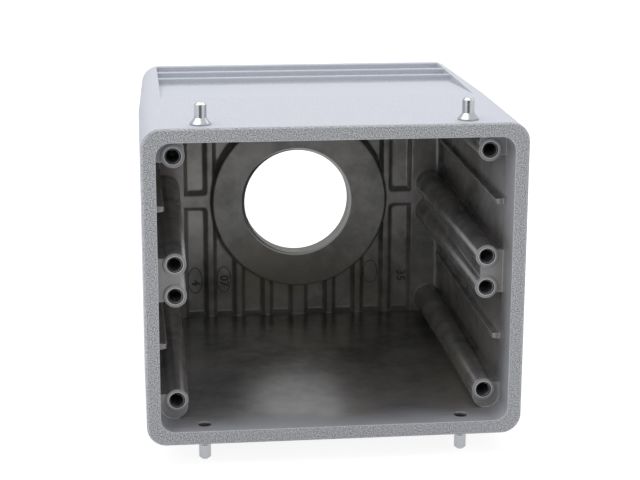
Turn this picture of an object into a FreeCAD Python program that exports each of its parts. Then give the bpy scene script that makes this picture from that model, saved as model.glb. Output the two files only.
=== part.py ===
import FreeCAD, Part
import math
import os

# Die-cast hood of a heavy-duty rectangular connector, for two screw-fixed contact inserts side by side.
# The mating opening faces -Y, the far wall with the threaded cable entry faces +Y, and +Z is up.
# All pieces are built about the centre of the mating plane, with Y running into the hood, and are then
# moved so that the origin lies on the floor under the middle of the hood. Lengths are in millimetres.

# Fixing pattern of one contact insert, and the pitch of the two inserts
screw_spacing_x = 77.5
screw_spacing_z = 27.0
insert_pitch = 35.0

# Outer shell: the short sides are nearly straight up to the waist and are drawn in behind it
rim_width = 93.0
rim_height = 79.0
rim_wall = 3.45
rim_corner = 4.8
rim_edge_chamfer = 0.4
hood_depth = 94.5
waist_depth = 45.0
front_side_draft_deg = 0.25
rear_side_draft_deg = 2.0
long_side_draft_deg = 0.08
far_edge_radius = 1.2

# Cavity, with the draft that lets the core draw out of the mating opening
far_wall = 4.5
cavity_corner = 3.5
cavity_draft_deg = 0.75
far_blend_radius = 1.75
wall_overlap = 1.2

# Blind pockets that leave a grid of ribs on the inside of the far wall
pocket_depth = 2.2
pocket_width = 6.65
pocket_flank = 1.05
pocket_corner = 1.3
grid_rib_width = 1.65
middle_rib_width = 3.55
middle_land_height = 3.7
pocket_columns = 4

# Raised ring round the cable entry, and the entry hole at the roots of its metric thread
ring_rise = 2.6
ring_radius = 25.15
ring_flank = 1.0
entry_thread_radius = 16.0
entry_offset_x = -0.8
entry_relief_radius = 17.5
entry_relief_depth = 2.0

# Screw columns for the inserts, each tied to the wall by a web
column_recess = 9.0
column_radius = 2.85
column_draft_deg = 0.9
screw_bore_radius = 1.7
screw_bore_depth = 14.0
web_step = 0.4
web_half_width = 1.5
web_reach = 1.5
middle_web_draft_deg = 1.1
outer_web_draft_deg = 0.2

# One low stiffening rib on each short wall between two screw columns
wall_rib_start = 11.0
wall_rib_height = 1.9
wall_rib_edge_width = 1.15
wall_rib_root_width = 1.9
wall_rib_front_radius = 1.0

# Grip recess across each long side: a ramp down to the first rib, and valleys between the ribs
grip_length = 81.0
grip_ramp_start = 40.0
grip_depth = 1.9
grip_rib_count = 3
grip_rib_start = 71.3
grip_rib_pitch = 10.25
grip_rib_width = 1.1
grip_face_flank = 0.15
grip_back_flank = 0.6
grip_crest_radius = 0.45
grip_foot_radius = 0.7
surface_overlap = 0.005

# Turned steel locking pegs, pressed into the long walls
peg_side_distance = 14.3
peg_setback = 5.0
peg_radius = 1.5
peg_projection = 5.4
peg_tip_chamfer = 0.55
peg_collar_radius = 2.6
peg_collar_height = 0.4
peg_cone_height = 1.3
peg_stem_radius = 1.7
peg_stem_recess = 0.3
peg_press_clearance = 0.01
peg_hole_overrun = 0.15

half_width = rim_width / 2
half_height = rim_height / 2
cavity_depth = hood_depth - far_wall
column_end = cavity_depth + pocket_depth / 2
insert_levels = (-insert_pitch / 2, insert_pitch / 2)
to_floor = FreeCAD.Vector(0, -hood_depth / 2, half_height + peg_projection)


def drawn_in(length, draft_deg):
    return length * math.tan(math.radians(draft_deg))


def outer_half_width(depth):
    front = drawn_in(min(depth, waist_depth), front_side_draft_deg)
    return half_width - front - drawn_in(max(depth - waist_depth, 0), rear_side_draft_deg)


def outer_half_height(depth):
    return half_height - drawn_in(depth, long_side_draft_deg)


def cavity_half_width(depth):
    return half_width - rim_wall - drawn_in(depth, cavity_draft_deg)


def cavity_half_height(depth):
    return half_height - rim_wall - drawn_in(depth, cavity_draft_deg)


def drafted_block(near, far, start, end):
    # Straight-sided block along Y, near and far each being left, right, bottom and top
    return Part.makeWedge(near[0], start, near[2], far[2], far[0], near[1], end, near[3], far[3], far[1])


def round_long_edges(block, radius):
    box = block.BoundBox
    long_edges = [edge for edge in block.Edges if edge.BoundBox.YLength > box.YLength / 2]
    return block.makeFillet(radius, long_edges)


def centred(half_x, half_z):
    return (-half_x, half_x, -half_z, half_z)


def side_block(waist_draft_deg):
    # Full-depth block that has the section of the waist there, with one draft on the short sides
    at_waist = outer_half_width(waist_depth)
    near_width = at_waist + drawn_in(waist_depth, waist_draft_deg)
    far_width = at_waist - drawn_in(hood_depth - waist_depth, waist_draft_deg)
    near = centred(near_width, outer_half_height(0))
    far = centred(far_width, outer_half_height(hood_depth))
    return round_long_edges(drafted_block(near, far, 0, hood_depth), rim_corner)


def outer_shell():
    shell = side_block(front_side_draft_deg).common(side_block(rear_side_draft_deg))
    far_edges = [edge for edge in shell.Edges if edge.BoundBox.YMin > hood_depth - rim_edge_chamfer]
    shell = shell.makeFillet(far_edge_radius, far_edges)
    rim_edges = [edge for edge in shell.Edges if edge.BoundBox.YMax < rim_edge_chamfer]
    return shell.makeChamfer(rim_edge_chamfer, rim_edges)


def cavity():
    near = centred(cavity_half_width(0), cavity_half_height(0))
    far = centred(cavity_half_width(cavity_depth), cavity_half_height(cavity_depth))
    return round_long_edges(drafted_block(near, far, 0, cavity_depth), cavity_corner)


def wall_pocket(left, bottom, top):
    # Blind pocket with sloping flanks, cut into the far wall, its corner nearest the middle rounded
    right = left + pocket_width
    mouth = (left, right, bottom, top)
    floor = (left + pocket_flank, right - pocket_flank, bottom + pocket_flank, top - pocket_flank)
    pocket = drafted_block(mouth, floor, cavity_depth, cavity_depth + pocket_depth)
    corner_edges = [edge for edge in pocket.Edges if edge.BoundBox.YLength > pocket_depth / 2]
    nearest = min(corner_edges, key=lambda edge: math.hypot(edge.CenterOfMass.x, edge.CenterOfMass.z))
    return pocket.makeFillet(pocket_corner, [nearest])


def wall_pockets():
    ceiling = cavity_half_height(cavity_depth)
    land = middle_land_height / 2
    pockets = []
    for column in range(pocket_columns):
        near_edge = middle_rib_width / 2 + column * (pocket_width + grid_rib_width)
        for left in (near_edge, -near_edge - pocket_width):
            pockets.append(wall_pocket(left, land, ceiling))
            pockets.append(wall_pocket(left, -ceiling, -land))
    return pockets


def entry_ring():
    # Frustum from the pocket floors up to the flat ring face, with a drafted flank
    height = ring_rise + pocket_depth
    return Part.makeCone(ring_radius, ring_radius + ring_flank, height,
                         FreeCAD.Vector(0, cavity_depth - ring_rise, 0), FreeCAD.Vector(0, 1, 0))


def entry_bore():
    # Through hole with a round relief at its outer mouth
    near = cavity_depth - ring_rise
    along = FreeCAD.Vector(0, 1, 0)
    bore = Part.makeCylinder(entry_thread_radius, hood_depth - near,
                             FreeCAD.Vector(entry_offset_x, near, 0), along)
    relief = Part.makeCylinder(entry_relief_radius, entry_relief_depth,
                               FreeCAD.Vector(entry_offset_x, hood_depth - entry_relief_depth, 0), along)
    return [bore, relief]


def far_blend(side):
    # Concave rounding between the far wall and a short wall
    bend = cavity_depth - far_blend_radius
    centre_x = side * (cavity_half_width(bend) - far_blend_radius)
    outer_x = side * (cavity_half_width(0) + wall_overlap)
    height = 2 * (cavity_half_height(cavity_depth) + wall_overlap)
    block = Part.makeBox(abs(outer_x - centre_x), far_blend_radius + wall_overlap, height,
                         FreeCAD.Vector(min(centre_x, outer_x), bend, -height / 2))
    hollow = Part.makeCylinder(far_blend_radius, height, FreeCAD.Vector(centre_x, bend, -height / 2))
    return block.cut(hollow)


def screw_column(x, z):
    length = column_end - column_recess
    return Part.makeCone(column_radius, column_radius + drawn_in(length, column_draft_deg), length,
                         FreeCAD.Vector(x, column_recess, z), FreeCAD.Vector(0, 1, 0))


def corner_post(side, above):
    # Round post that fills a corner of the cavity beside an outer screw column, with a flat in the web
    start = column_recess + web_step
    x = side * (cavity_half_width(0) - cavity_corner)
    z = above * (cavity_half_height(0) - cavity_corner)
    flat = above * (insert_levels[1] + screw_spacing_z / 2 - web_half_width / 2)
    post = Part.makeCylinder(cavity_corner, column_end - start, FreeCAD.Vector(x, start, z),
                             FreeCAD.Vector(0, 1, 0))
    below = Part.makeBox(2 * cavity_corner, column_end - start, cavity_corner,
                         FreeCAD.Vector(x - cavity_corner, start, min(flat, flat - above * cavity_corner)))
    return post.cut(below)


def web(side, bottom, top, draft_deg):
    # Web from beside the screw columns into a short wall, widening with depth by the draft
    start = column_recess + web_step
    spread = drawn_in(column_end - start, draft_deg)
    reach = screw_spacing_x / 2 - web_reach
    wall = cavity_half_width(0) + wall_overlap
    near = (reach, wall, bottom, top)
    far = (reach - spread / 2, wall, bottom - spread, top + spread)
    solid = drafted_block(near, far, start, column_end)
    return solid if side > 0 else solid.mirror(FreeCAD.Vector(0, 0, 0), FreeCAD.Vector(1, 0, 0))


def wall_rib(side, level):
    # Low rib that narrows towards its free edge, with a rounded front end
    free_x = side * (cavity_half_width(wall_rib_start) - wall_rib_height)
    wall_x = side * (cavity_half_width(0) + wall_overlap)
    half_edge = wall_rib_edge_width / 2
    half_root = wall_rib_root_width / 2
    outline = ((free_x, -half_edge), (free_x, half_edge), (wall_x, half_root), (wall_x, -half_root))
    points = [FreeCAD.Vector(x, wall_rib_start, level + z) for x, z in outline]
    face = Part.Face(Part.makePolygon(points + points[:1]))
    rib = face.extrude(FreeCAD.Vector(0, cavity_depth - wall_rib_start, 0))
    front_edge = min(rib.Edges, key=lambda edge: (edge.BoundBox.YMax, abs(edge.CenterOfMass.x)))
    return rib.makeFillet(wall_rib_front_radius, [front_edge])


def side_supports(side):
    # Columns, webs, corner posts and wall ribs along one short wall, side being -1 or 1
    half_pitch = screw_spacing_z / 2
    middle = insert_levels[1] - half_pitch + web_half_width
    inside = insert_levels[1] + half_pitch - web_half_width
    outside = cavity_half_height(0) - cavity_corner
    solids = [web(side, -middle, middle, middle_web_draft_deg),
              web(side, inside, outside, outer_web_draft_deg),
              web(side, -outside, -inside, outer_web_draft_deg)]
    for above, level in zip((-1, 1), insert_levels):
        solids.append(corner_post(side, above))
        solids.append(wall_rib(side, level))
        for offset in (-half_pitch, half_pitch):
            solids.append(screw_column(side * screw_spacing_x / 2, level + offset))
    return solids


def screw_bores():
    bores = []
    for side in (-1, 1):
        for level in insert_levels:
            for offset in (-screw_spacing_z / 2, screw_spacing_z / 2):
                mouth = FreeCAD.Vector(side * screw_spacing_x / 2, column_recess, level + offset)
                bores.append(Part.makeCylinder(screw_bore_radius, screw_bore_depth, mouth,
                                               FreeCAD.Vector(0, 1, 0)))
    return bores


def rounded_face(corners):
    # Face on the Y-Z plane, each corner given as depth, level and rounding radius, 0 for a sharp one
    points = [FreeCAD.Vector(0, depth, level) for depth, level, radius in corners]
    bends = []
    for number, corner in enumerate(points):
        radius = corners[number][2]
        before = (points[number - 1] - corner).normalize()
        after = (points[(number + 1) % len(points)] - corner).normalize()
        half_angle = before.getAngle(after) / 2
        setback = radius / math.tan(half_angle)
        bulge = (before + after).normalize() * (radius / math.sin(half_angle) - radius)
        bends.append((corner + before * setback, corner + bulge, corner + after * setback))
    edges = []
    for number, (start, bulge, end) in enumerate(bends):
        if corners[number][2] > 0:
            edges.append(Part.Arc(start, bulge, end).toShape())
        edges.append(Part.makeLine(end, bends[(number + 1) % len(bends)][0]))
    return Part.Face(Part.Wire(edges))


def grip_recess(above):
    # Cut along X under the outer face, above being 1 on the upper long side and -1 on the lower
    floor = outer_half_height(grip_rib_start) - grip_depth
    lid = half_height + rim_wall

    def surface(depth):
        return outer_half_height(depth) + surface_overlap

    corners = [(grip_ramp_start, surface(grip_ramp_start), 0)]
    for number in range(grip_rib_count):
        face = grip_rib_start + number * grip_rib_pitch
        if number > 0:
            back = face - grip_rib_pitch + grip_rib_width
            corners.append((back, surface(back), grip_crest_radius))
            corners.append((back + grip_back_flank, floor, grip_foot_radius))
        corners.append((face - grip_face_flank, floor, grip_foot_radius))
        corners.append((face, surface(face), grip_crest_radius))
    end = grip_rib_start + (grip_rib_count - 1) * grip_rib_pitch + grip_rib_width
    corners += [(end, surface(end), 0), (end, lid, 0), (grip_ramp_start, lid, 0)]
    recess = rounded_face(corners).extrude(FreeCAD.Vector(grip_length, 0, 0))
    recess.translate(FreeCAD.Vector(-grip_length / 2, 0, 0))
    return recess if above > 0 else recess.mirror(FreeCAD.Vector(0, 0, 0), FreeCAD.Vector(0, 0, 1))


def peg_x(side):
    return side * (half_width - peg_side_distance)


def peg_seat_level():
    # Highest point of the drafted outer face under the collar
    return outer_half_height(peg_setback - peg_collar_radius)


def peg_holes():
    start = cavity_half_height(peg_setback) - peg_hole_overrun
    length = peg_seat_level() + peg_hole_overrun - start
    return [Part.makeCylinder(peg_stem_radius + peg_press_clearance, length,
                              FreeCAD.Vector(peg_x(side), peg_setback, above * start),
                              FreeCAD.Vector(0, 0, above))
            for side in (-1, 1) for above in (-1, 1)]


def hood_body():
    body = outer_shell().cut([grip_recess(1), grip_recess(-1)])
    body = body.cut([cavity()] + wall_pockets())
    additions = [entry_ring()]
    for side in (-1, 1):
        additions.append(far_blend(side))
        additions += side_supports(side)
    body = body.fuse(additions)
    return body.cut(entry_bore() + screw_bores() + peg_holes())


def locking_peg(side, above):
    # Turned about its own axis, from the recessed inner end to the chamfered tip
    seat = peg_seat_level()
    inner = cavity_half_height(peg_setback) + peg_stem_recess
    tip = half_height + peg_projection
    profile = (
        (0, inner),
        (peg_stem_radius, inner),
        (peg_stem_radius, seat),
        (peg_collar_radius, seat),
        (peg_collar_radius, seat + peg_collar_height),
        (peg_radius, seat + peg_collar_height + peg_cone_height),
        (peg_radius, tip - peg_tip_chamfer),
        (peg_radius - peg_tip_chamfer, tip),
        (0, tip),
    )
    points = [FreeCAD.Vector(radius, 0, above * level) for radius, level in profile]
    face = Part.Face(Part.makePolygon(points + points[:1]))
    peg = face.revolve(FreeCAD.Vector(0, 0, 0), FreeCAD.Vector(0, 0, 1), 360)
    peg.translate(FreeCAD.Vector(peg_x(side), peg_setback, 0))
    return peg


def write_piece(name, solid):
    solid.translate(to_floor)
    print(name, "valid", solid.isValid(), "solids", len(solid.Solids), "volume", round(solid.Volume, 2))
    solid.exportStep("parts/" + name + ".step")


os.makedirs("parts", exist_ok=True)
write_piece("hood_body", hood_body())
for height_name, above in (("top", 1), ("bottom", -1)):
    for side_name, side in (("left", -1), ("right", 1)):
        write_piece("peg_" + height_name + "_" + side_name, locking_peg(side, above))
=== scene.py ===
import bmesh
import bpy
import math
from mathutils import Matrix, Vector


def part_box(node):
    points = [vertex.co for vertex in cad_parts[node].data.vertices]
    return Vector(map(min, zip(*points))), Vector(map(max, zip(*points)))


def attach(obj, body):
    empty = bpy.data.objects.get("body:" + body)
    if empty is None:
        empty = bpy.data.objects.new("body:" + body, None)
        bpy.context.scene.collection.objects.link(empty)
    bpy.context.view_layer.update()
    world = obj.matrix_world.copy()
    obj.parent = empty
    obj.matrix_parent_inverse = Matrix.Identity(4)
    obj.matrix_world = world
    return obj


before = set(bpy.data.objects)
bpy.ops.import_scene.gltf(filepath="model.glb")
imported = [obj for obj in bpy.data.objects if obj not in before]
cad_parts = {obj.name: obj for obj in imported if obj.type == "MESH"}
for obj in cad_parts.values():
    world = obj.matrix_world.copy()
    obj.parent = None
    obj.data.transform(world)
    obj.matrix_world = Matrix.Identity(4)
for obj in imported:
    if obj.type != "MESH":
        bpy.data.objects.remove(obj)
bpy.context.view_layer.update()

# Hood: one aluminium die casting. Outside and on its rim it has a fine-textured powder coat,
# sprayed from the mating side and the outside, so that the coat fades out within the opening.
# Deep inside it is bare casting skin, stained by die release, and the entry is tapped bright.
MM = 0.001
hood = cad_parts["hood_body"]
hood_low, hood_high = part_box("hood_body")
rim_y = hood_low.y
hood_centre_z = (hood_low.z + hood_high.z) / 2
wall_thickness = 3.45 * MM
wall_middle_x = hood_high.x - wall_thickness / 2
wall_middle_z = hood_high.z - hood_centre_z - wall_thickness / 2
wall_middle_x_slope = 1.4 / 90
wall_middle_z_slope = 0.7 / 90
far_wall_middle = hood_high.y - 1.15 * MM
entry_x = -0.8 * MM
entry_radius = 16.0 * MM
ring_face_y = hood_high.y - 7.1 * MM
entry_relief_y = hood_high.y - 2.0 * MM
screw_column_x = 77.5 / 2 * MM
insert_level = 35.0 / 2 * MM
screw_level = 27.0 / 2 * MM
screw_mouth = 9.0 * MM
past_screw_holes = 24 * MM
mask_margin = 0.1 * MM
grain_size = 0.27 * MM
ragged_size = 12 * MM
stain_size = 12 * MM
darkest_x = 17 * MM
tint_size = 25 * MM
front_edge_radius = 0.35 * MM
entry_edge_radius = 0.12 * MM


def linear_colour(hex_text):
    # sRGB hex to the linear values that a shader socket takes
    channels = [int(hex_text[place:place + 2], 16) / 255 for place in (1, 3, 5)]
    linear = [c / 12.92 if c <= 0.04045 else ((c + 0.055) / 1.055) ** 2.4 for c in channels]
    return (*linear, 1.0)


def add_node(material, kind, inputs, **settings):
    # Adds one node; an input takes either a value or another node's output
    node = material.node_tree.nodes.new(kind)
    for name, value in settings.items():
        setattr(node, name, value)
    for name, value in inputs.items():
        if isinstance(value, bpy.types.NodeSocket):
            material.node_tree.links.new(value, node.inputs[name])
        else:
            node.inputs[name].default_value = value
    return node


def new_material(name):
    material = bpy.data.materials.new(name)
    material.use_nodes = True
    material.node_tree.nodes.clear()
    return material


def coated_casting(name, deep_edge_radius, dark_skin, pale_skin):
    # Powder-coated die-cast aluminium: a matt, finely grained pale grey outside, and a satin
    # casting skin with soft stains inside
    m = new_material(name)
    place = add_node(m, "ShaderNodeTexCoord", {}).outputs["Object"]
    axes = add_node(m, "ShaderNodeSeparateXYZ", {"Vector": place}).outputs
    depth = add_node(m, "ShaderNodeMath", {0: axes["Y"], 1: rim_y}, operation="SUBTRACT").outputs[0]
    side = add_node(m, "ShaderNodeMath", {0: axes["X"]}, operation="ABSOLUTE").outputs[0]
    above = add_node(m, "ShaderNodeMath", {0: axes["Z"], 1: hood_centre_z}, operation="SUBTRACT").outputs[0]
    height = add_node(m, "ShaderNodeMath", {0: above}, operation="ABSOLUTE").outputs[0]

    # Inside the cavity: within the middle of the four walls and of the far wall, behind the rim face
    drawn_side = add_node(m, "ShaderNodeMath", {0: depth, 1: wall_middle_x_slope, 2: side},
                          operation="MULTIPLY_ADD").outputs[0]
    drawn_height = add_node(m, "ShaderNodeMath", {0: depth, 1: wall_middle_z_slope, 2: height},
                            operation="MULTIPLY_ADD").outputs[0]
    tests = [
        add_node(m, "ShaderNodeMath", {0: drawn_side, 1: wall_middle_x}, operation="LESS_THAN"),
        add_node(m, "ShaderNodeMath", {0: drawn_height, 1: wall_middle_z}, operation="LESS_THAN"),
        add_node(m, "ShaderNodeMath", {0: depth, 1: mask_margin / 2}, operation="GREATER_THAN"),
        add_node(m, "ShaderNodeMath", {0: axes["Y"], 1: far_wall_middle}, operation="LESS_THAN"),
    ]
    inside = tests[0].outputs[0]
    for test in tests[1:]:
        inside = add_node(m, "ShaderNodeMath", {0: inside, 1: test.outputs[0]},
                          operation="MULTIPLY").outputs[0]

    # Overspray: nearly full just behind the rim, gone about 15 mm in, with a ragged edge
    cloud = add_node(m, "ShaderNodeTexNoise", {"Vector": place, "Scale": 1 / ragged_size,
                                               "Detail": 4.0}).outputs[0]
    ragged_depth = add_node(m, "ShaderNodeMath", {0: cloud, 1: ragged_size, 2: depth},
                            operation="MULTIPLY_ADD").outputs[0]
    overspray = add_node(m, "ShaderNodeMapRange",
                         {"Value": ragged_depth, "From Min": 3 * MM, "From Max": 19 * MM,
                          "To Min": 0.9, "To Max": 0.0}, interpolation_type="SMOOTHSTEP").outputs[0]
    bare = add_node(m, "ShaderNodeMath", {0: 1.0, 1: overspray}, operation="SUBTRACT").outputs[0]
    bare = add_node(m, "ShaderNodeMath", {0: bare, 1: inside}, operation="MULTIPLY").outputs[0]

    # Grain of the coat: beads of about 0.27 mm, drawn a little coarser than the real 0.2 mm so that
    # they show. The rim face has the thinner coat, where the dark casting shows between the beads.
    grain = add_node(m, "ShaderNodeTexNoise", {"Vector": place, "Scale": 1 / grain_size,
                                               "Detail": 2.0}).outputs[0]
    speckle = add_node(m, "ShaderNodeMapRange", {"Value": grain, "From Min": 0.37,
                                                 "From Max": 0.63}).outputs[0]
    outer_coat = add_node(m, "ShaderNodeMix",
                          {"Factor": speckle, "A": linear_colour("#B2B5BE"), "B": linear_colour("#C0C3CC")},
                          data_type="RGBA").outputs["Result"]
    rim_coat = add_node(m, "ShaderNodeMix",
                        {"Factor": speckle, "A": linear_colour("#707176"), "B": linear_colour("#D0D2D6")},
                        data_type="RGBA").outputs["Result"]
    rim = add_node(m, "ShaderNodeMapRange", {"Value": depth, "From Min": 0.1 * MM, "From Max": 0.45 * MM,
                                             "To Min": 1.0, "To Max": 0.0}).outputs[0]
    coat = add_node(m, "ShaderNodeMix", {"Factor": rim, "A": outer_coat, "B": rim_coat},
                    data_type="RGBA").outputs["Result"]

    # Casting skin: stains of die release in 12 mm clouds with finer edges, darker towards a line just
    # right of the middle and lighter towards the sides, and a warmer tint in 25 mm clouds
    stain = add_node(m, "ShaderNodeTexNoise", {"Vector": place, "Scale": 1 / stain_size, "Detail": 7.0,
                                               "Roughness": 0.65}).outputs[0]
    off_darkest = add_node(m, "ShaderNodeMath", {0: axes["X"], 1: darkest_x}, operation="SUBTRACT").outputs[0]
    off_darkest = add_node(m, "ShaderNodeMath", {0: off_darkest}, operation="ABSOLUTE").outputs[0]
    stain_by_side = add_node(m, "ShaderNodeMath", {0: off_darkest, 1: 2.5, 2: stain},
                       operation="MULTIPLY_ADD").outputs[0]
    stain_step = add_node(m, "ShaderNodeMapRange", {"Value": stain_by_side, "From Min": 0.4,
                                                    "From Max": 0.7}).outputs[0]
    skin = add_node(m, "ShaderNodeMix", {"Factor": stain_step, "A": linear_colour(dark_skin),
                                         "B": linear_colour(pale_skin)}, data_type="RGBA").outputs["Result"]
    tint = add_node(m, "ShaderNodeTexNoise", {"Vector": place, "Scale": 1 / tint_size,
                                              "Detail": 3.0}).outputs[0]
    tint_step = add_node(m, "ShaderNodeMapRange", {"Value": tint, "From Min": 0.5, "From Max": 0.7,
                                                   "To Max": 0.6}).outputs[0]
    stained = add_node(m, "ShaderNodeMix", {"Factor": tint_step, "A": skin, "B": linear_colour("#7D7563")},
                       data_type="RGBA").outputs["Result"]

    # The pocket floors of the far wall have a less stained skin, and the cavity floor is drawn darker
    # towards that wall, a painted shade. A fine dust of the coat lies on the skin in front.
    in_pocket = add_node(m, "ShaderNodeMapRange", {"Value": depth, "From Min": 89 * MM, "From Max": 91.5 * MM,
                                                   "To Min": 1.0, "To Max": 1.45}).outputs[0]
    far_back = add_node(m, "ShaderNodeMapRange", {"Value": depth, "From Min": 45 * MM, "From Max": 80 * MM,
                                                  "To Max": 0.5}).outputs[0]
    low_down = add_node(m, "ShaderNodeMapRange", {"Value": above, "From Min": -33 * MM,
                                                  "From Max": -38 * MM}).outputs[0]
    # Painted shade on the cavity floor, deepest at the far wall
    painted_floor_shade = add_node(m, "ShaderNodeMath", {0: far_back, 1: low_down}, operation="MULTIPLY").outputs[0]
    pocket_lift_and_painted_shade = add_node(m, "ShaderNodeMath", {0: in_pocket, 1: painted_floor_shade}, operation="SUBTRACT").outputs[0]
    stained = add_node(m, "ShaderNodeVectorMath", {0: stained, "Scale": pocket_lift_and_painted_shade},
                       operation="SCALE").outputs[0]
    dust = add_node(m, "ShaderNodeMapRange", {"Value": depth, "From Min": 20 * MM, "From Max": 50 * MM,
                                              "To Min": 0.1, "To Max": 0.0}).outputs[0]
    stained = add_node(m, "ShaderNodeMix", {"Factor": dust, "A": stained, "B": linear_colour("#A8ADC2")},
                       data_type="RGBA").outputs["Result"]
    colour = add_node(m, "ShaderNodeMix", {"Factor": bare, "A": coat, "B": stained},
                      data_type="RGBA").outputs["Result"]

    # Tapped entry: bright cut metal between the ridges of the thread
    off_axis = add_node(m, "ShaderNodeVectorMath", {0: place, 1: (entry_x, 0.0, hood_centre_z)},
                        operation="SUBTRACT").outputs[0]
    across = add_node(m, "ShaderNodeVectorMath", {0: off_axis, 1: (1.0, 0.0, 1.0)},
                      operation="MULTIPLY").outputs[0]
    radius = add_node(m, "ShaderNodeVectorMath", {0: across}, operation="LENGTH").outputs["Value"]
    in_bore = add_node(m, "ShaderNodeMath", {0: radius, 1: entry_radius + mask_margin},
                       operation="LESS_THAN").outputs[0]
    past_ring = add_node(m, "ShaderNodeMath", {0: axes["Y"], 1: ring_face_y + mask_margin},
                         operation="GREATER_THAN").outputs[0]
    tapped = add_node(m, "ShaderNodeMath", {0: in_bore, 1: past_ring}, operation="MULTIPLY").outputs[0]
    colour = add_node(m, "ShaderNodeMix", {"Factor": tapped, "A": colour, "B": linear_colour("#D0D0CE")},
                      data_type="RGBA").outputs["Result"]

    # Screw holes: a painted highlight round the mouth, a painted shade on the chamfer and a grey wall further
    # in
    column_side = add_node(m, "ShaderNodeMath", {0: side, 1: screw_column_x}, operation="SUBTRACT").outputs[0]
    column_pair = add_node(m, "ShaderNodeMath", {0: height, 1: insert_level}, operation="SUBTRACT").outputs[0]
    column_pair = add_node(m, "ShaderNodeMath", {0: column_pair}, operation="ABSOLUTE").outputs[0]
    column_height = add_node(m, "ShaderNodeMath", {0: column_pair, 1: screw_level},
                             operation="SUBTRACT").outputs[0]
    from_screw = add_node(m, "ShaderNodeCombineXYZ", {"X": column_side, "Y": column_height}).outputs[0]
    screw_radius = add_node(m, "ShaderNodeVectorMath", {0: from_screw}, operation="LENGTH").outputs["Value"]
    behind_mouth = add_node(m, "ShaderNodeMath", {0: depth, 1: screw_mouth - mask_margin},
                            operation="GREATER_THAN").outputs[0]
    before_end = add_node(m, "ShaderNodeMath", {0: depth, 1: past_screw_holes},
                          operation="LESS_THAN").outputs[0]
    at_screws = add_node(m, "ShaderNodeMath", {0: behind_mouth, 1: before_end},
                         operation="MULTIPLY").outputs[0]
    in_screw_bore = add_node(m, "ShaderNodeMapRange", {"Value": screw_radius, "From Min": 2.0 * MM,
                                               "From Max": 2.06 * MM, "To Min": 1.0, "To Max": 0.0}).outputs[0]
    in_screw_bore = add_node(m, "ShaderNodeMath", {0: in_screw_bore, 1: at_screws}, operation="MULTIPLY").outputs[0]
    # Painted highlight: a bright thin ring on the edge of each mouth
    mouth_highlight = add_node(m, "ShaderNodeMath", {0: screw_radius, 1: 2.1 * MM, 2: 0.09 * MM},
                    operation="COMPARE").outputs[0]
    mouth_highlight = add_node(m, "ShaderNodeMath", {0: mouth_highlight, 1: at_screws}, operation="MULTIPLY").outputs[0]
    colour = add_node(m, "ShaderNodeMix", {"Factor": mouth_highlight, "A": colour, "B": linear_colour("#D8D9DC")},
                      data_type="RGBA").outputs["Result"]
    in_hole = add_node(m, "ShaderNodeMath", {0: depth, 1: screw_mouth + mask_margin},
                       operation="GREATER_THAN").outputs[0]
    # Painted shade: the mouth is drawn near black for the shadow in its chamfer, the wall behind it grey
    bore_with_painted_shade = add_node(m, "ShaderNodeMix",
                        {"Factor": in_hole, "A": linear_colour("#141414"), "B": linear_colour("#8C8C8C")},
                        data_type="RGBA").outputs["Result"]
    colour = add_node(m, "ShaderNodeMix", {"Factor": in_screw_bore, "A": colour, "B": bore_with_painted_shade},
                      data_type="RGBA").outputs["Result"]

    metal = add_node(m, "ShaderNodeMath", {0: bare, 1: 0.22}, operation="MULTIPLY").outputs[0]
    skin_roughness = add_node(m, "ShaderNodeMapRange", {"Value": stain, "To Min": 0.22,
                                                        "To Max": 0.27}).outputs[0]
    roughness = add_node(m, "ShaderNodeMix", {"Factor": bare, "A": 0.6, "B": skin_roughness}).outputs["Result"]

    # Cast edges: rounded by 0.35 mm in front, by the radius given where the bare metal lies deep
    # inside, and nearly sharp where the entry was machined
    deep = add_node(m, "ShaderNodeMapRange",
                    {"Value": depth, "From Min": 14 * MM, "From Max": 30 * MM,
                     "To Min": front_edge_radius, "To Max": deep_edge_radius}).outputs[0]
    edge_radius = add_node(m, "ShaderNodeMix", {"Factor": inside, "A": front_edge_radius,
                                                "B": deep}).outputs["Result"]
    at_entry = add_node(m, "ShaderNodeMath", {0: radius, 1: entry_radius + 1.5 * MM},
                        operation="LESS_THAN").outputs[0]
    edge_radius = add_node(m, "ShaderNodeMix", {"Factor": at_entry, "A": edge_radius,
                                                "B": entry_edge_radius}).outputs["Result"]
    rounded = add_node(m, "ShaderNodeBevel", {"Radius": edge_radius}, samples=8).outputs[0]
    relief = add_node(m, "ShaderNodeMix", {"Factor": bare, "A": grain, "B": stain}).outputs["Result"]
    coat_strength = add_node(m, "ShaderNodeMapRange", {"Value": rim, "To Min": 0.25,
                                                       "To Max": 0.9}).outputs[0]
    strength = add_node(m, "ShaderNodeMix", {"Factor": bare, "A": coat_strength, "B": 0.03}).outputs["Result"]
    bump = add_node(m, "ShaderNodeBump", {"Strength": strength, "Distance": 0.06 * MM, "Height": relief,
                                          "Normal": rounded}).outputs[0]
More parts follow.
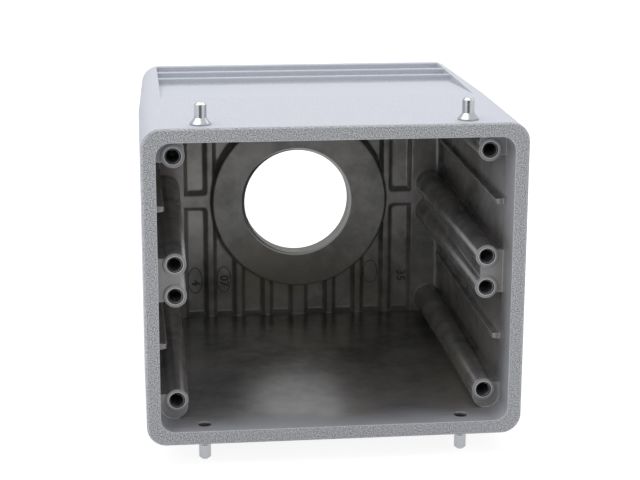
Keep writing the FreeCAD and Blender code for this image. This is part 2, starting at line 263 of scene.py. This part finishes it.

    # Edges drawn bright, partly wear from handling and partly a painted highlight on every edge, convex or
    # concave: those of the rim most, then those of the columns, pads and ribs near the opening, not in the
    # screw bores
    flat = add_node(m, "ShaderNodeNewGeometry", {}).outputs["True Normal"]
    turned = add_node(m, "ShaderNodeVectorMath", {0: rounded, 1: flat},
                      operation="DOT_PRODUCT").outputs["Value"]
    edge = add_node(m, "ShaderNodeMapRange", {"Value": turned, "From Min": 0.995,
                                              "From Max": 0.93}).outputs[0]
    near = add_node(m, "ShaderNodeMapRange", {"Value": depth, "From Min": 12 * MM, "From Max": 16 * MM,
                                              "To Min": 0.3, "To Max": 0.0}).outputs[0]
    near = add_node(m, "ShaderNodeMath", {0: near, 1: inside}, operation="MULTIPLY").outputs[0]
    outside_screw_bore = add_node(m, "ShaderNodeMath", {0: 1.0, 1: in_screw_bore}, operation="SUBTRACT").outputs[0]
    near = add_node(m, "ShaderNodeMath", {0: near, 1: outside_screw_bore}, operation="MULTIPLY").outputs[0]
    wear_and_highlight_zone = add_node(m, "ShaderNodeMath", {0: near, 1: rim}, operation="MAXIMUM").outputs[0]
    wear_and_painted_highlight = add_node(m, "ShaderNodeMath", {0: edge, 1: wear_and_highlight_zone}, operation="MULTIPLY").outputs[0]
    colour = add_node(m, "ShaderNodeMix", {"Factor": wear_and_painted_highlight, "A": colour, "B": linear_colour("#D6D8DC")},
                      data_type="RGBA").outputs["Result"]
    shader = add_node(m, "ShaderNodeBsdfPrincipled", {"Base Color": colour, "Metallic": metal,
                                                      "Roughness": roughness, "Normal": bump})
    add_node(m, "ShaderNodeOutputMaterial", {"Surface": shader.outputs[0]})
    return m


casting_finish = coated_casting("powder_coated_die_cast_aluminium", 0.7 * MM, "#686765", "#979594")
hood.data.materials.clear()
hood.data.materials.append(casting_finish)

# Threads: the entry is tapped right through the ring with a 1.5 mm pitch for a cable gland, and the
# eight screw columns with a 0.7 mm pitch for the insert screws. The taps leave bright sharp ridges
# in the bare aluminium.
entry_pitch = 1.5 * MM
metric_ridge_share = 0.5413
entry_thread_steps = 96
screw_pitch = 0.7 * MM
screw_hole_radius = 1.7 * MM
screw_thread_height = 0.09 * MM
screw_mouth_y = rim_y + screw_mouth
screw_thread_length = 8.4 * MM
screw_thread_steps = 32
screw_rises = [insert_level * row + screw_level * step for row in (-1, 1) for step in (-1, 1)]
weld_distance = 0.001 * MM


def select_vertices(piece, test):
    # In edit mode, selects just the vertices whose place passes the test
    mesh = bmesh.from_edit_mesh(piece.data)
    bpy.ops.mesh.select_mode(type="VERT")
    for vertex in mesh.verts:
        vertex.select_set(test(vertex.co))
    mesh.select_flush(True)
    mesh.select_flush(False)
    bmesh.update_edit_mesh(piece.data)


def tapped_thread(name, centre, hole_radius, pitch, height, start_y, end_y, steps):
    # A ridge with a flat crest, wound inside a hole along Y and cut off flat at both ends
    root = pitch * 7 / 8
    crest = pitch / 4
    sunk = 0.03 * MM
    bpy.ops.object.select_all(action="DESELECT")
    bpy.ops.mesh.primitive_plane_add(size=1.0, location=(centre[0], start_y - pitch, centre[1]))
    thread = bpy.context.object
    thread.name = name
    bpy.ops.object.mode_set(mode="EDIT")
    middle = thread.location.copy()
    bpy.ops.transform.resize(value=(height + sunk, root, 1.0), center_override=middle)
    bpy.ops.transform.translate(value=(hole_radius + (sunk - height) / 2, 0, 0))
    select_vertices(thread, lambda place: place.x < hole_radius)
    bpy.ops.transform.resize(value=(1.0, crest / root, 1.0), center_override=middle)
    bpy.ops.mesh.select_all(action="SELECT")
    bpy.ops.mesh.delete(type="ONLY_FACE")
    bpy.ops.object.mode_set(mode="OBJECT")
    winding = thread.modifiers.new("winding", "SCREW")
    winding.axis = "Y"
    winding.screw_offset = pitch
    winding.iterations = math.ceil((end_y - start_y) / pitch) + 2
    winding.steps = winding.render_steps = steps
    bpy.ops.object.modifier_apply(modifier="winding")
    bpy.ops.object.transform_apply(location=True)
    bpy.ops.object.mode_set(mode="EDIT")
    for cut_y, facing in ((start_y, -1), (end_y, 1)):
        bpy.ops.mesh.select_all(action="SELECT")
        bpy.ops.mesh.bisect(plane_co=(0, cut_y - facing * sunk, 0), plane_no=(0, facing, 0),
                            use_fill=True, clear_outer=True, threshold=weld_distance)
    bpy.ops.mesh.select_all(action="SELECT")
    bpy.ops.mesh.normals_make_consistent(inside=False)
    bpy.ops.object.mode_set(mode="OBJECT")
    bpy.ops.object.shade_smooth_by_angle(angle=math.radians(25))
    return thread


def tapped_aluminium(name, colour):
    # Cut aluminium in the threads, with fine streaks from the tap's teeth: bright in the open entry,
    # and in the deep screw holes a darker copy, a painted shade
    m = new_material(name)
    place = add_node(m, "ShaderNodeTexCoord", {}).outputs["Object"]
    streaks = add_node(m, "ShaderNodeTexNoise", {"Vector": place, "Scale": 1 / (0.3 * MM),
                                                 "Detail": 2.0}).outputs[0]
    roughness = add_node(m, "ShaderNodeMapRange", {"Value": streaks, "To Min": 0.25,
                                                   "To Max": 0.45}).outputs[0]
    bump = add_node(m, "ShaderNodeBump", {"Strength": 0.3, "Distance": 0.02 * MM,
                                          "Height": streaks}).outputs[0]
    shader = add_node(m, "ShaderNodeBsdfPrincipled", {"Base Color": linear_colour(colour), "Metallic": 1.0,
                                                      "Roughness": roughness, "Normal": bump})
    add_node(m, "ShaderNodeOutputMaterial", {"Surface": shader.outputs[0]})
    return m


threads = [tapped_thread("entry_thread", (entry_x, hood_centre_z), entry_radius, entry_pitch,
                         entry_pitch * metric_ridge_share, ring_face_y, entry_relief_y,
                         entry_thread_steps)]
first_screw_thread = tapped_thread("screw_thread_1", (-screw_column_x, hood_centre_z + screw_rises[0]),
                                   screw_hole_radius, screw_pitch, screw_thread_height,
                                   screw_mouth_y, screw_mouth_y + screw_thread_length,
                                   screw_thread_steps)
threads.append(first_screw_thread)
for side in (0, 2 * screw_column_x):
    for rise in screw_rises:
        if side == 0 and rise == screw_rises[0]:
            continue
        bpy.ops.object.select_all(action="DESELECT")
        first_screw_thread.select_set(True)
        bpy.context.view_layer.objects.active = first_screw_thread
        bpy.ops.object.duplicate()
        copy = bpy.context.object
        copy.name = "screw_thread_" + str(len(threads))
        copy.location = (side, 0, rise - screw_rises[0])
        bpy.ops.object.transform_apply(location=True)
        threads.append(copy)
bright_thread = tapped_aluminium("tapped_aluminium", "#ACACAA")
# The screw holes' copy is darker: painted shade
shaded_screw_thread = tapped_aluminium("tapped_aluminium_painted_shade", "#9A9A9C")
for thread in threads:
    thread.data.materials.clear()
    thread.data.materials.append(bright_thread if thread.name == "entry_thread" else shaded_screw_thread)
    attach(thread, "root")

# Cast marks: oval insert pins of the die leave a thin raised outline and raised figures in the pockets
# of the far wall, and one pair of figures stands alone on the other side. They are coloured darker
# than the wall, a painted shade for the shadows round their small steps.
pocket_floor_y = rim_y + 92.2 * MM
mark_height = 0.32 * MM
outline_width = 0.28 * MM
outline_sides = 48
figure_height = 0.4 * MM
figure_bevel = 0.06 * MM
figure_swell = 0.02 * MM
capital_share = 0.7


def oval_outline(name, x, z, width, height):
    bpy.ops.object.select_all(action="DESELECT")
    bpy.ops.mesh.primitive_cylinder_add(vertices=outline_sides, radius=0.5, depth=1.0, location=(0, 0, 0))
    outline = bpy.context.object
    outline.name = name
    bpy.ops.object.mode_set(mode="EDIT")
    bpy.ops.transform.resize(value=(width, height, mark_height), center_override=(0, 0, 0))
    select_vertices(outline, lambda place: place.z > 0)
    bpy.ops.mesh.inset(thickness=outline_width)
    bpy.ops.transform.translate(value=(0, 0, -0.6 * mark_height))
    bpy.ops.object.mode_set(mode="OBJECT")
    stand_up(outline, x, z)
    return outline


def raised_figures(name, text, x, z, height):
    # Figures that read sideways, as the die maker stamped them
    bpy.ops.object.select_all(action="DESELECT")
    bpy.ops.object.text_add(location=(0, 0, 0))
    figures = bpy.context.object
    figures.name = name
    figures.data.body = text
    figures.data.size = height / capital_share
    figures.data.extrude = figure_height / 2
    figures.data.bevel_depth = figure_bevel
    figures.data.offset = figure_swell
    figures.data.align_x = "CENTER"
    figures.data.align_y = "CENTER"
    figures.data.resolution_u = 4
    bpy.ops.object.convert(target="MESH")
    bpy.ops.object.mode_set(mode="EDIT")
    bpy.ops.mesh.select_all(action="SELECT")
    bpy.ops.mesh.remove_doubles(threshold=weld_distance)
    bpy.ops.object.mode_set(mode="OBJECT")
    figures.rotation_euler = (0, 0, math.radians(-90))
    bpy.ops.object.transform_apply(rotation=True)
    stand_up(figures, x, z)
    return figures


def stand_up(mark, x, z):
    # Turns a mark drawn flat to face the opening, with its back in the pocket floor
    mark.rotation_euler = (math.radians(90), 0, 0)
    mark.location = (x, pocket_floor_y, hood_centre_z + z)
    bpy.ops.object.transform_apply(location=True, rotation=True)


cast_marks = [
    oval_outline("mark_outline_1", -30.4 * MM, -24.3 * MM, 4.3 * MM, 8.0 * MM),
    oval_outline("mark_outline_2", -21.95 * MM, -24.2 * MM, 4.3 * MM, 8.0 * MM),
    raised_figures("mark_figures_1", "4", -30.2 * MM, -25.0 * MM, 2.5 * MM),
    raised_figures("mark_figures_2", "07", -21.9 * MM, -24.6 * MM, 2.4 * MM),
    oval_outline("mark_outline_3", 21.6 * MM, -22.9 * MM, 4.3 * MM, 7.0 * MM),
    raised_figures("mark_figures_3", "35", 30.7 * MM, -24.4 * MM, 2.4 * MM),
]
# Darker skin colours for the marks: painted shade
mark_finish_painted_shade = coated_casting("die_cast_aluminium_marks_painted_shade", 0.06 * MM, "#434240", "#5A5854")
for mark in cast_marks:
    mark.data.materials.clear()
    mark.data.materials.append(mark_finish_painted_shade)
    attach(mark, "root")

# Locking pegs: four in the long walls near the rim, for the levers of the mating housing. They are of
# free-cutting steel, turned on a lathe and polished, then pressed into the casting.
peg_setback = 5 * MM
peg_inner_end = 36.6 * MM
tool_ring_pitch = 0.12 * MM


def turned_steel():
    # Turned and polished steel: bright, with tool rings 0.12 mm apart that draw its highlights
    # into soft bands
    m = new_material("turned_polished_steel")
    place = add_node(m, "ShaderNodeTexCoord", {}).outputs["Object"]
    stretched = add_node(m, "ShaderNodeMapping", {"Vector": place,
                                                  "Scale": (30.0, 30.0, 1 / tool_ring_pitch)}).outputs[0]
    rings = add_node(m, "ShaderNodeTexNoise", {"Vector": stretched, "Scale": 1.0, "Detail": 2.0}).outputs[0]
    roughness = add_node(m, "ShaderNodeMapRange", {"Value": rings, "To Min": 0.14, "To Max": 0.24}).outputs[0]
    bump = add_node(m, "ShaderNodeBump", {"Strength": 0.3, "Distance": 0.01 * MM, "Height": rings}).outputs[0]
    # The end pressed through into the cavity, sunk in its hole, is drawn darker: painted shade
    rise = add_node(m, "ShaderNodeSeparateXYZ", {"Vector": place}).outputs["Z"]
    above = add_node(m, "ShaderNodeMath", {0: rise, 1: hood_centre_z}, operation="SUBTRACT").outputs[0]
    height = add_node(m, "ShaderNodeMath", {0: above}, operation="ABSOLUTE").outputs[0]
    painted_shade_end = add_node(m, "ShaderNodeMath", {0: height, 1: peg_inner_end}, operation="LESS_THAN").outputs[0]
    colour = add_node(m, "ShaderNodeMix", {"Factor": painted_shade_end, "A": linear_colour("#B0B2B6"),
                                           "B": linear_colour("#7C7C80")}, data_type="RGBA").outputs["Result"]
    shader = add_node(m, "ShaderNodeBsdfPrincipled", {"Base Color": colour, "Metallic": 1.0,
                                                      "Roughness": roughness, "Normal": bump})
    add_node(m, "ShaderNodeOutputMaterial", {"Surface": shader.outputs[0]})
    return m


peg_steel = turned_steel()
for name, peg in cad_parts.items():
    if name.startswith("peg_"):
        peg.data.materials.clear()
        peg.data.materials.append(peg_steel)

# Studio: a white paper table, leaning a little because the hood rests on its lower pegs and its far
# edge, a large soft light overhead, and two weak ones in front at the sides.
hood_rise = hood_low.z
peg_y = rim_y + peg_setback
lean = math.atan2(hood_rise, hood_high.y - peg_y)


def white_surface():
    # Matt white paper, white to the camera and with the object's soft shadow on it
    m = new_material("white_studio_paper")
    paper = add_node(m, "ShaderNodeBsdfDiffuse", {"Color": (0.25, 0.25, 0.25, 1.0)}).outputs[0]
    glow = add_node(m, "ShaderNodeEmission", {"Color": (1.0, 1.0, 1.0, 1.0), "Strength": 0.88}).outputs[0]
    seen = add_node(m, "ShaderNodeAddShader", {0: paper, 1: glow}).outputs[0]
    lit = add_node(m, "ShaderNodeBsdfDiffuse", {"Color": (0.7, 0.7, 0.7, 1.0)}).outputs[0]
    path = add_node(m, "ShaderNodeLightPath", {}).outputs
    direct = add_node(m, "ShaderNodeMath", {0: path["Is Camera Ray"], 1: path["Is Glossy Ray"]},
                      operation="MAXIMUM").outputs[0]
    direct = add_node(m, "ShaderNodeMath", {0: direct, 1: path["Is Transmission Ray"]},
                      operation="MAXIMUM").outputs[0]
    mixed = add_node(m, "ShaderNodeMixShader", {0: direct, 1: lit, 2: seen}).outputs[0]
    add_node(m, "ShaderNodeOutputMaterial", {"Surface": mixed})
    return m


bpy.ops.object.select_all(action="DESELECT")
bpy.ops.mesh.primitive_plane_add(size=6.0, location=(0, peg_y, 0), rotation=(lean, 0, 0))
table = bpy.context.object
table.name = "table"
table.data.materials.append(white_surface())

world = bpy.data.worlds.new("studio")
bpy.context.scene.world = world
world.use_nodes = True
world.node_tree.nodes.clear()
rays = add_node(world, "ShaderNodeLightPath", {}).outputs
open_view = add_node(world, "ShaderNodeMath", {0: rays["Is Camera Ray"], 1: rays["Is Glossy Ray"]},
                     operation="MAXIMUM").outputs[0]
open_view = add_node(world, "ShaderNodeMath", {0: open_view, 1: rays["Is Transmission Ray"]},
                     operation="MAXIMUM").outputs[0]
brightness = add_node(world, "ShaderNodeMapRange", {"Value": open_view, "To Min": 0.35,
                                                    "To Max": 1.0}).outputs[0]
sky = add_node(world, "ShaderNodeBackground", {"Color": (1.0, 1.0, 1.0, 1.0),
                                               "Strength": brightness}).outputs[0]
add_node(world, "ShaderNodeOutputWorld", {"Surface": sky})


def soft_light(name, width, height, power, location, target):
    lamp = bpy.data.lights.new(name, "AREA")
    lamp.shape = "RECTANGLE"
    lamp.size = width
    lamp.size_y = height
    lamp.energy = power
    holder = bpy.data.objects.new(name, lamp)
    bpy.context.scene.collection.objects.link(holder)
    holder.location = location
    holder.rotation_euler = (Vector(target) - Vector(location)).to_track_quat("-Z", "Y").to_euler()
    return holder


soft_light("overhead_softbox", 2.4, 1.0, 14.4, (-0.1, 0.15, 0.95), (0, 0, 0.05))
soft_light("left_fill", 0.9, 0.8, 3.4, (-1.15, -0.85, 0.25), (0, 0, 0.04))
soft_light("right_fill", 0.9, 0.8, 3.4, (1.15, -0.85, 0.25), (0, 0, 0.04))

# Camera: measured from the photograph's rim, screw columns and far wall. Angles are the object's turn
# as the camera sees it, and the place is from the middle of the mating plane.
camera_tilt = math.radians(14.877)
camera_azimuth = math.radians(6.663)
camera_roll = math.radians(0.212)
camera_place = Vector((-50.6, -397.28, 117.99)) * MM
focal_length_px = 1726.18
picture_width_px = 640
lens = bpy.data.cameras.new("camera")
lens.sensor_width = 36.0
lens.lens = focal_length_px / picture_width_px * lens.sensor_width
lens.clip_start = 0.01
camera = bpy.data.objects.new("camera", lens)
bpy.context.scene.collection.objects.link(camera)
turn = (Matrix.Rotation(-camera_azimuth, 4, "Z") @ Matrix.Rotation(-camera_tilt, 4, "X")
        @ Matrix.Rotation(-camera_roll, 4, "Y") @ Matrix.Rotation(math.radians(90), 4, "X"))
camera.matrix_world = Matrix.Translation(camera_place + Vector((0, rim_y, hood_centre_z))) @ turn
bpy.context.scene.camera = camera

# A card under the lens, out of the picture, that glows faintly and is seen only in reflections: a painted
# reflection, which the polished pegs mirror as a dark band
card_height = 0.12
card_stretch = 2.5
card_place = (-0.045, -0.36, 0.06)
bpy.ops.object.select_all(action="DESELECT")
bpy.ops.mesh.primitive_plane_add(size=card_height, location=card_place, rotation=(math.radians(90), 0, 0))
dark_card = bpy.context.object
dark_card.name = "dark_card"
dark_card.visible_camera = False
dark_card.visible_diffuse = False
dark_card.visible_shadow = False
bpy.ops.object.mode_set(mode="EDIT")
bpy.ops.mesh.select_all(action="SELECT")
bpy.ops.transform.resize(value=(card_stretch, 1.0, 1.0), center_override=dark_card.location)
bpy.ops.object.mode_set(mode="OBJECT")
glowing_card_finish = new_material("dark_studio_card")
# Painted reflection: the card is lit by its own faint glow, not by the lamps
faint_card_glow = add_node(glowing_card_finish, "ShaderNodeEmission", {"Color": (1.0, 1.0, 1.0, 1.0),
                                                   "Strength": 0.15}).outputs[0]
add_node(glowing_card_finish, "ShaderNodeOutputMaterial", {"Surface": faint_card_glow})
dark_card.data.materials.append(glowing_card_finish)
bpy.context.scene.view_settings.view_transform = "Standard"
